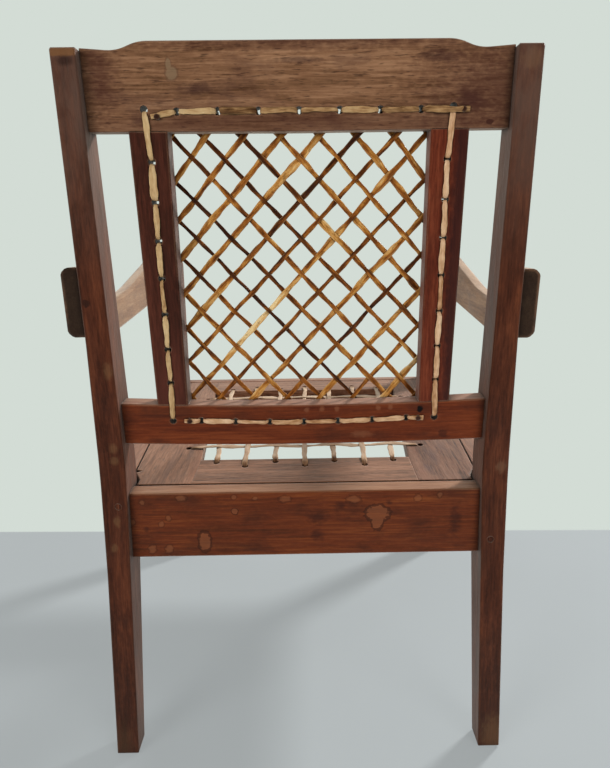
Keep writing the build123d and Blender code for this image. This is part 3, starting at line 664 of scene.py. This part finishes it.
def bendThong(blank, start, run, up, way, seed, look, tone, legs, stretches=()):
    # a copy of the blank laid along the way, whose points are (distance along run, height on up);
    # legs are the lengths inside the holes, and stretches are (middle, half length, tone, width)
    # as shares of the thong
    mesh = blank.data.copy()
    count = len(mesh.vertices)
    places = np.empty(count * 3)
    mesh.vertices.foreach_get("co", places)
    places = places.reshape(-1, 3)
    lengths = np.concatenate([[0], np.cumsum(np.linalg.norm(np.diff(way, axis=0), axis=1))])

    def onWay(distance):
        return np.stack([np.interp(distance, lengths, way[:, axis]) for axis in (0, 1)], axis=1)

    share = places[:, 0] + 0.5
    reach = share * lengths[-1]
    flat = onWay(reach)
    heading = onWay(reach + look["probe"]) - onWay(reach - look["probe"])
    heading /= np.linalg.norm(heading, axis=1)[:, None]
    run, up = Vector(run).normalized(), Vector(up).normalized()
    sideways = np.array(up.cross(run))
    run, up, start = np.array(run), np.array(up), np.array(start)
    normal = -heading[:, 1:] * run + heading[:, :1] * up
    turn = look["twist"] * drift(reach, look["twistWave"], seed + 1)
    side = np.cos(turn)[:, None] * sideways + np.sin(turn)[:, None] * normal
    lifted = np.cos(turn)[:, None] * normal - np.sin(turn)[:, None] * sideways

    free = np.ones(count)
    for leg, fromEnd in zip(legs, (reach, lengths[-1] - reach)):
        if leg:
            free = np.minimum(free, np.clip((fromEnd - leg) / look["tuck"], 0, 1))
    width = look["width"] * (1 + look["widthDrift"] * drift(reach, look["widthWave"], seed + 2))
    tones = np.full(count, tone)
    for middle, halfLength, stretchTone, stretchWidth in stretches:
        within = np.exp(-(((share - middle) / halfLength) ** 4))
        tones += within * (stretchTone - tone)
        width *= 1 + within * (stretchWidth - 1)
    width *= look["tucked"] + (1 - look["tucked"]) * free
    sway = look["sideDrift"] * drift(reach, look["sideWave"], seed + 3) * free

    across = places[:, 1] * width
    crown = look["crown"] * look["thickness"] * (1 - (2 * places[:, 1]) ** 2)
    height = places[:, 2] * look["thickness"] + look["thickness"] / 2 + crown * (places[:, 2] > 0)
    centre = start + flat[:, :1] * run + flat[:, 1:] * up + sway[:, None] * sideways
    moved = centre + across[:, None] * side + height[:, None] * lifted
    mesh.vertices.foreach_set("co", moved.ravel())
    along = reach + seed * look["patternShift"]
    for name, values in (("along", along), ("across", across), ("tone", tones)):
        kept = mesh.attributes.new(name, "FLOAT", "POINT")
        kept.data.foreach_set("value", values.astype(np.float32))
    mesh.update()
    return addObject("thong", mesh)


def finishThongs(name, pieces, space, material, node, body):
    # all thongs of one kind become one piece in the place of their node
    deselectAll()
    for piece in pieces:
        piece.select_set(True)
    bpy.context.view_layer.objects.active = pieces[0]
    bpy.ops.object.join()
    whole = bpy.context.object
    whole.name = whole.data.name = name
    whole.data.transform(space)
    bpy.ops.object.mode_set(mode="EDIT")
    bpy.ops.mesh.select_all(action="SELECT")
    bpy.ops.mesh.normals_make_consistent(inside=False)
    bpy.ops.object.mode_set(mode="OBJECT")
    bpy.ops.object.shade_smooth_by_angle(angle=thong["smoothBelow"])
    whole.data.materials.clear()
    whole.data.materials.append(material)
    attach(whole, body)
    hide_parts(node)


longBlank = stripBlank("longThongBlank", thong["steps"])
shortBlank = stripBlank("shortThongBlank", thong["shortSteps"])


backLacing = {
    "rearFace": -0.0115,  # y of the back frame's rear face
    "frontFace": -0.0345,
    "count": 7,
    "topZ": 0.858,
    "topPitch": 0.0457,
    "bottomZ": 0.4845,
    "bottomPitch": 0.0446,
    "bottomSag": 0.0033,
    "columnX": 0.1695,
    "columnTopZ": 0.8046,
    "columnPitch": 0.0446,
    "topCorner": (0.1735, 0.8605),
    "bottomCorner": (0.1705, 0.485),
    "topPegs": ((0.159, 0.8525), (-0.1845, 0.8575)),
    "bottomPegs": ((0.1485, 0.485), (-0.149, 0.4845)),
    "tail": 0.007,
    "leg": 0.009,  # of a lattice thong inside its hole
    "stitchLeg": 0.021,
    # from a hole's middle to a leg
    "stitchRims": {"top": 0.0035, "bottom": 0.0035, "left": 0.0035, "right": 0.0024},
    "stitchWidth": 0.0064,
    "overColumn": (0.0065, 0.0006),  # half length and gap of the top row's arch over a column's end
    # of the stitches and thongs that aren't listed below
    "stitchTones": (0.5, 0.2),  # least, and spread
    "usualStitch": (1.0, 12),
    "usualThong": (0.4, 0.9),
}

# stitches that differ from the rest, by row and number: tone, width, twist in degrees
stitchLooks = {
    "top": {0: (0.55, 0.95, 8), 1: (0.66, 1.0, 8), 2: (0.15, 1.25, 25), 3: (0.4, 1.0, 20),
            4: (0.42, 0.8, 35), 5: (0.5, 1.0, 12), 6: (0.33, 0.95, 30), 7: (0.34, 1.0, 12)},
    "left": {1: (0.66, 1.3, 12), 2: (0.62, 0.95, 10), 3: (0.66, 1.0, 12), 4: (0.5, 0.78, 20),
             5: (0.74, 1.0, 12), 6: (0.62, 0.85, 30)},
    "right": {1: (0.8, 1.0, 12), 2: (0.68, 1.0, 15), 4: (0.5, 0.82, 20), 5: (0.8, 1.0, 12)},
    "bottom": {1: (0.7, 1.0, 8), 2: (0.6, 0.8, 30), 3: (0.55, 1.05, 8), 4: (0.5, 0.8, 25)},
}

# of each lattice thong, by its number from the top: tone, width and the stretches that differ;
# the darkest tones hold painted shade as well as the hide's own colour
latticeLooks = {
    "back_thongs_falling_left": {
        1: (0.52, 1.0), 2: (0.42, 1.0), 3: (0.46, 1.12, (0.75, 0.12, 0.6, 1.1)),
        4: (0.45, 1.05, (0.27, 0.13, 0.66, 1.3)),
        5: (0.42, 1.0, (0.22, 0.3, 0.08, 0.95), (0.8, 0.08, 0.62, 1.35)),
        6: (0.32, 0.85, (0.85, 0.1, 0.45, 1.1)),
        7: (0.4, 0.95, (0.22, 0.025, 0.5, 1.6), (0.4, 0.05, 0.6, 1.35), (0.66, 0.14, 0.95, 1.1)),
        8: (0.3, 0.8), 9: (0.46, 1.0, (0.3, 0.12, 0.6, 1.25), (0.92, 0.08, 0.62, 1.2)),
        10: (0.38, 0.9, (0.36, 0.24, 0.08, 0.9)), 11: (0.52, 1.05), 12: (0.42, 0.85),
        13: (0.7, 1.2),
    },
    "back_thongs_falling_right": {
        1: (0.46, 1.05), 2: (0.5, 1.1), 3: (0.46, 0.85), 4: (0.48, 1.0, (0.9, 0.06, 0.3, 1.25)),
        5: (0.35, 0.95, (0.2, 0.16, 0.12, 1.0), (0.49, 0.07, 0.72, 1.3)),
        6: (0.28, 0.9, (0.25, 0.2, 0.1, 0.9), (0.85, 0.15, 0.5, 1.0)),
        7: (0.4, 0.95, (0.1, 0.12, 0.16, 0.85)), 8: (0.4, 1.0, (0.2, 0.3, 0.02, 0.75)),
        9: (0.08, 0.72), 10: (0.3, 0.85, (0.15, 0.12, 0.1, 0.9)), 11: (0.46, 0.95),
        12: (0.34, 0.85), 13: (0.36, 0.85),
    },
}


def holeRows():
    lace = backLacing
    middle = lace["count"] // 2
    steps = range(middle, -middle - 1, -1)
    (topX, topZ), (bottomX, bottomZ) = lace["topCorner"], lace["bottomCorner"]
    heights = [lace["columnTopZ"] - k * lace["columnPitch"] for k in range(lace["count"])]

    def sagging(step):
        return lace["bottomZ"] - lace["bottomSag"] * (1 - (step / middle) ** 2)

    topRow = [(k * lace["topPitch"], lace["topZ"]) for k in steps]
    bottomRow = [(k * lace["bottomPitch"], sagging(k)) for k in steps]
    rows = {
        "top": [(topX, topZ)] + topRow + [(-topX, topZ)],
        "bottom": [(bottomX, bottomZ)] + bottomRow + [(-bottomX, bottomZ)],
    }
    column = [(topX, topZ)] + [(lace["columnX"], z) for z in heights] + [(bottomX, bottomZ)]
    for name, side in (("left", 1), ("right", -1)):
        rows[name] = [(side * x, z) for x, z in column]
    return rows


def crossing(first, second):
    # distance along the first line at which it meets the second, or None
    (ax, ay), (bx, by) = first
    (cx, cy), (dx, dy) = second
    runX, runY, otherX, otherY = bx - ax, by - ay, dx - cx, dy - cy
    cross = runX * otherY - runY * otherX
    share = ((cx - ax) * otherY - (cy - ay) * otherX) / cross
    otherShare = ((cx - ax) * runY - (cy - ay) * runX) / cross
    slack = thong["slack"]
    if -slack < share < 1 + slack and -slack < otherShare < 1 + slack:
        return share * math.hypot(runX, runY)
    return None


def wovenWay(line, others, number, overWhen, depth):
    # from inside one hole, over and under the other family, into the other hole
    (ax, ay), (bx, by) = line
    length = math.hypot(bx - ax, by - ay)
    clear, low = thong["clearOfHole"], thong["aboveWood"]
    levels = []
    for otherNumber, other in enumerate(others):
        distance = crossing(line, other)
        if distance is not None and clear < distance < length - clear:
            over = (number + otherNumber) % 2 == overWhen
            levels.append((distance, thong["lift"] if over else 0))
    levels.sort()
    rim = thong["holeRadius"] - thong["thickness"] * thong["offRim"]
    corners = [(rim, -depth), (rim, low)] + levels + [(length - rim, low), (length - rim, -depth)]
    start, end = roundedWay(corners[:3])[:-1], roundedWay(corners[-3:])[1:]
    middle = []
    for (fromD, fromH), (toD, toH) in zip(corners[1:-1], corners[2:-1]):
        for share in np.linspace(thong["riseFrom"], 1 - thong["riseFrom"], thong["risePoints"]):
            risen = (1 - math.cos(math.pi * share)) / 2
            middle.append((fromD + (toD - fromD) * share, fromH + (toH - fromH) * risen))
    first, last = start[-1][0], end[0][0]
    return np.array([*start, *[point for point in middle if first < point[0] < last], *end])


def backLattice():
    rows = holeRows()
    last = backLacing["count"] + 1
    leg = backLacing["leg"]
    fallingLeft = [(rows["top"][k], rows["left"][k]) for k in range(1, last + 1)]
    fallingLeft += [(rows["right"][k], rows["bottom"][k]) for k in range(1, last)]
    fallingRight = [(rows["top"][last - k], rows["right"][k]) for k in range(1, last + 1)]
    fallingRight += [(rows["left"][k], rows["bottom"][last - k]) for k in range(1, last)]
    families = (
        ("latticeFallingLeft", "back_thongs_falling_left", fallingLeft, fallingRight, 0),
        ("latticeFallingRight", "back_thongs_falling_right", fallingRight, fallingLeft, 1),
    )
    for name, node, lines, others, overWhen in families:
        pieces = []
        for number, line in enumerate(lines):
            (ax, az), (bx, bz) = line
            way = wovenWay(line, others, number, overWhen, leg)
            tone, width, *stretches = latticeLooks[node].get(number, backLacing["usualThong"])
            look = {**thong, "width": thong["width"] * width}
            start, run = (ax, backLacing["frontFace"], az), (bx - ax, 0, bz - az)
            seed = seedOf("lattice", number, overWhen)
            pieces.append(bendThong(longBlank, start, run, (0, -1, 0), way, seed, look, tone,
                                    (leg, leg), stretches))
        finishThongs(name, pieces, leanedBack, backRawhide, node, "chair_frame")


def stitchWay(length, startDepth, endDepth, rim, raised=()):
    start = [(rim, -startDepth), (rim, 0)] if startDepth else [(0, 0)]
    end = [(length - rim, 0), (length - rim, -endDepth)] if endDepth else [(length, 0)]
    return roundedWay(start + list(raised) + end)


def stitchPairs(name, holes):
    # the ends of each stitch of a row, the lengths of its legs, and the arch over what it crosses
    leg = backLacing["stitchLeg"]
    pairs = [(a, b, leg, leg, ()) for a, b in zip(holes, holes[1:])]
    if name + "Pegs" in backLacing:
        (leftX, leftZ), (rightX, rightZ) = backLacing[name + "Pegs"]
        raised = ()
        if name == "top":
            middle = holes[-2][0] + backLacing["topCorner"][0]
            half, gap = backLacing["overColumn"]
            raised = [(middle + side * half, thong["thickness"] + gap) for side in (-1, 1)]
        pairs = [((leftX + backLacing["tail"], leftZ), holes[1], 0, leg, ())] + pairs[1:-1]
        pairs.append((holes[-2], (rightX - backLacing["tail"], rightZ), leg, 0, raised))
    return pairs


def backStitches():
    leastTone, spread = backLacing["stitchTones"]
    for name, holes in holeRows().items():
        pieces = []
        for number, pair in enumerate(stitchPairs(name, holes)):
            (ax, az), (bx, bz), startDepth, endDepth, raised = pair
            seed = seedOf("stitches", number, len(name))
            way = stitchWay(math.hypot(bx - ax, bz - az), startDepth, endDepth,
                            backLacing["stitchRims"][name], raised)
            usual = leastTone + spread * random.Random(seed).random(), *backLacing["usualStitch"]
            tone, width, twist = stitchLooks[name].get(number, usual)
            look = {**thong, "thickness": thong["stitchThickness"], "twist": math.radians(twist),
                    "width": backLacing["stitchWidth"] * width}
            start, run = (ax, backLacing["rearFace"], az), (bx - ax, 0, bz - az)
            pieces.append(bendThong(shortBlank, start, run, (0, 1, 0), way, seed, look, tone,
                                    (startDepth, endDepth)))
        material = tanRawhide if name in ("right", "bottom") else stitchRawhide
        finishThongs("stitches" + name.capitalize(), pieces, leanedBack, material,
                     "back_stitches_" + name, "chair_frame")


backLattice()
backStitches()
print("back laced")


seatLacing = {
    "top": 0.3838,
    "board": 0.020,
    "width": 0.008,
    "thickness": 0.0018,
    "sideDrift": 0.0012,
    "opening": (-0.103, -0.418),  # y of its back and front
    "halfWidths": (0.158, 0.187),  # of the opening there
    "rowCount": 7,
    "rowHalfWidths": (0.133, 0.151),
    "rowInsets": (0.022, 0.009),  # of the holes from the opening, by turns
    "crossInsets": (0.023, 0.011),
    "crossFirst": -0.145,
    "crossPitch": 0.045,
    "crossCount": 6,
    "tail": 0.014,
    "leg": 0.008,
    "stitchLeg": 0.016,
    "stitchRim": 0.0035,
    "tones": (0.55, 0.2),  # least, and spread
    "brownEnds": ((0.0, 0.05, 0.1, 1.0), (1.0, 0.05, 0.1, 1.0)),
}


def seatRows():
    lace = seatLacing
    lengthwise, crosswise = [], []
    back, front = lace["opening"]
    halfBack, halfFront = lace["halfWidths"]
    rowBack, rowFront = lace["rowHalfWidths"]
    last = lace["rowCount"] // 2
    for step in range(-last, last + 1):
        inset = lace["rowInsets"][step % 2]
        lengthwise.append(((rowBack * step / last, back + inset),
                           (rowFront * step / last, front - inset)))
    for number in range(lace["crossCount"]):
        y = lace["crossFirst"] - number * lace["crossPitch"]
        share = (back - y) / (back - front)
        half = halfBack + share * (halfFront - halfBack) + lace["crossInsets"][number % 2]
        crosswise.append(((half, y), (-half, y)))
    return lengthwise, crosswise


def seatThongs(lengthwise, crosswise):
    look = {**thong, **{kept: seatLacing[kept] for kept in ("width", "thickness", "sideDrift")}}
    leastTone, spread = seatLacing["tones"]
    leg = seatLacing["leg"]
    families = (
        ("seatThongsLengthwise", "seat_thongs_lengthwise", lengthwise, crosswise, 1),
        ("seatThongsCrosswise", "seat_thongs_crosswise", crosswise, lengthwise, 0),
    )
    for name, node, lines, others, overWhen in families:
        pieces = []
        for number, line in enumerate(lines):
            (ax, ay), (bx, by) = line
            seed = seedOf("seat", number, overWhen)
            way = wovenWay(line, others, number, overWhen, leg)
            tone = leastTone + spread * random.Random(seed).random()
            start, run = (ax, ay, seatLacing["top"]), (bx - ax, by - ay, 0)
            pieces.append(bendThong(longBlank, start, run, (0, 0, 1), way, seed, look, tone,
                                    (leg, leg), seatLacing["brownEnds"]))
        finishThongs(name, pieces, slopedSeat, seatRawhide, node, "drop_in_seat")


def seatUnderStitches(lengthwise, crosswise):
    # below the frame each thong passes to its neighbour, at one end and the other by turns
    leg, tail = seatLacing["stitchLeg"], seatLacing["tail"]
    pairs = []
    for lines, end, first in ((lengthwise, 1, 0), (lengthwise, 0, 1), (crosswise, 0, 0),
                              (crosswise, 1, 1)):
        pairs += [(lines[k][end], lines[k + 1][end], leg) for k in range(first, len(lines) - 1, 2)]
    for (x, y), (dx, dy) in ((lengthwise[0][0], (0, 1)), (lengthwise[-1][1], (0, -1)),
                             (crosswise[0][1], (-1, 0)), (crosswise[-1][1], (-1, 0))):
        pairs.append(((x, y), (x + tail * dx, y + tail * dy), 0))
    look = {**thong, "thickness": thong["stitchThickness"]}
    pieces = []
    for number, ((ax, ay), (bx, by), endDepth) in enumerate(pairs):
        way = stitchWay(math.hypot(bx - ax, by - ay), leg, endDepth, seatLacing["stitchRim"])
        start, run = (ax, ay, seatLacing["top"] - seatLacing["board"]), (bx - ax, by - ay, 0)
        pieces.append(bendThong(shortBlank, start, run, (0, 0, -1), way, seedOf("under", number),
                                look, seatLacing["tones"][0], (leg, endDepth)))
    finishThongs("seatUnderStitches", pieces, slopedSeat, seatRawhide, "seat_under_stitches",
                 "drop_in_seat")


seatThongs(*seatRows())
seatUnderStitches(*seatRows())
for blank in (longBlank, shortBlank):
    bpy.data.objects.remove(blank)
print("seat laced")


# Floor, background and light

stage = {
    "seamY": -0.316,  # the floor meets the wall's tone on this line, which is turned by seamTurn
    "seamTurn": math.radians(1.5),
    "seamHalf": 0.002,
    "floor": "B0B6B7",
    "cloud": "8C9090",
    "cloudSize": 300,
    "cloudShare": 0.06,
    "cloudSpan": (0.3, 0.7),
    "evenness": 0.62,  # how much of the floor's tone doesn't depend on the shadows
    "wall": "D3DCD5",
    "half": 6.0,
}


def seenRays(tree):
    # 1 for what the camera sees, also in gloss or through glass
    rays = addNode(tree, "LightPath").outputs
    seen = rays["Is Camera Ray"]
    for kind in ("Is Glossy Ray", "Is Transmission Ray"):
        seen = addNode(tree, "Math", {0: seen, 1: rays[kind]}, operation="MAXIMUM")
    return seen


def setStage():
    deselectAll()
    bpy.ops.mesh.primitive_plane_add(size=2 * stage["half"])
    floor = bpy.context.object
    floor.name = "paleFloor"
    # smooth matt floor, a little darker than the wall behind, which it passes into at the seam
    material, tree = newMaterial("matPaleFloor")
    place = addNode(tree, "TexCoord").outputs["Object"]
    turned = addNode(tree, "Mapping", {"Vector": place, "Rotation": (0, 0, stage["seamTurn"])})
    depth = addNode(tree, "SeparateXYZ", {0: turned}).outputs["Y"]
    cloudScale = perMillimetres(*[stage["cloudSize"]] * 3)
    cloudSpace = addNode(tree, "Mapping", {"Vector": place, "Scale": cloudScale})
    clouds = addNode(tree, "TexNoise", {"Vector": cloudSpace, "Scale": 1, "Detail": 3})
    nearEdge, farEdge = stage["seamY"] + stage["seamHalf"], stage["seamY"] - stage["seamHalf"]
    nearShare, cloudy, evenness = [addNode(tree, "MapRange", enumerate(span)) for span in (
        (depth, farEdge, nearEdge, 0, 1),
        (clouds, *stage["cloudSpan"], stage["cloudShare"], 0),
        (depth, nearEdge, farEdge, stage["evenness"], 1),
    )]
    cloudShare = addNode(tree, "Math", {0: cloudy, 1: nearShare}, operation="MULTIPLY")
    tone = linear(stage["wall"])
    for share, colour in ((nearShare, stage["floor"]), (cloudShare, stage["cloud"])):
        tone = addNode(tree, "Mix", {0: share, 6: tone, 7: linear(colour)},
                       data_type="RGBA").outputs[2]
    matt = addNode(tree, "BsdfDiffuse", {"Color": tone})
    backdrop = addNode(tree, "Emission", {"Color": tone, "Strength": 1})
    shown = addNode(tree, "Math", {0: evenness, 1: seenRays(tree)}, operation="MULTIPLY")
    both = addNode(tree, "MixShader", {0: shown, 1: matt, 2: backdrop})
    addNode(tree, "OutputMaterial", {"Surface": both})
    floor.data.materials.append(material)


# y of the direction from which and up to which each changes, then its level at both
sky = {
    "light": (0.6, -0.6, 0.2, 0.55),
    "room": (-0.5, 0.5, 0, -0.95),  # what gloss shows, against the wall's tone
}


def setWorld():
    world = bpy.data.worlds.new("studio")
    bpy.context.scene.world = world
    world.use_nodes = True
    tree = world.node_tree
    tree.nodes.clear()
    way = addNode(tree, "TexCoord").outputs["Generated"]
    toBack = addNode(tree, "SeparateXYZ", {0: way}).outputs["Y"]
    strength = addNode(tree, "MapRange", enumerate((toBack, *sky["light"])),
                       interpolation_type="SMOOTHSTEP")
    light = addNode(tree, "Background", {"Color": (1, 1, 1, 1), "Strength": strength})
    room = addNode(tree, "MapRange", enumerate((toBack, *sky["room"])))
    glossy = addNode(tree, "LightPath").outputs["Is Glossy Ray"]
    wallLevel = addNode(tree, "Math", {0: room, 1: glossy, 2: 1}, operation="MULTIPLY_ADD")
    wall = addNode(tree, "Background", {"Color": linear(stage["wall"]), "Strength": wallLevel})
    both = addNode(tree, "MixShader", {0: seenRays(tree), 1: light, 2: wall})
    addNode(tree, "OutputWorld", {"Surface": both})


lamps = {
    "cameraLeft": {"place": (2.0, 2.0, 1.3), "aim": (0, 0.1, 0.5), "size": 1.6, "watts": 40,
                   "inGloss": False},
    "cameraRight": {"place": (-1.7, 2.2, 1.1), "aim": (0, 0.1, 0.5), "size": 1.6, "watts": 27,
                    "inGloss": False},
    "frontRight": {"place": (-2.8, -1.95, 2.7), "aim": (0, 0, 0.45), "size": 0.6, "watts": 205,
                   "inGloss": True},
}


def setLamps():
    for name, lamp in lamps.items():
        light = bpy.data.lights.new(name, "AREA")
        light.shape = "DISK"
        light.size = lamp["size"]
        light.energy = lamp["watts"]
        holder = addObject(name, light)
        holder.visible_glossy = lamp["inGloss"]
        place = Vector(lamp["place"])
        aim = (Vector(lamp["aim"]) - place).to_track_quat("-Z", "Y").to_matrix().to_4x4()
        holder.matrix_world = Matrix.Translation(place) @ aim


setStage()
setWorld()
setLamps()
bpy.context.scene.view_settings.view_transform = "Standard"
print("stage and light set")
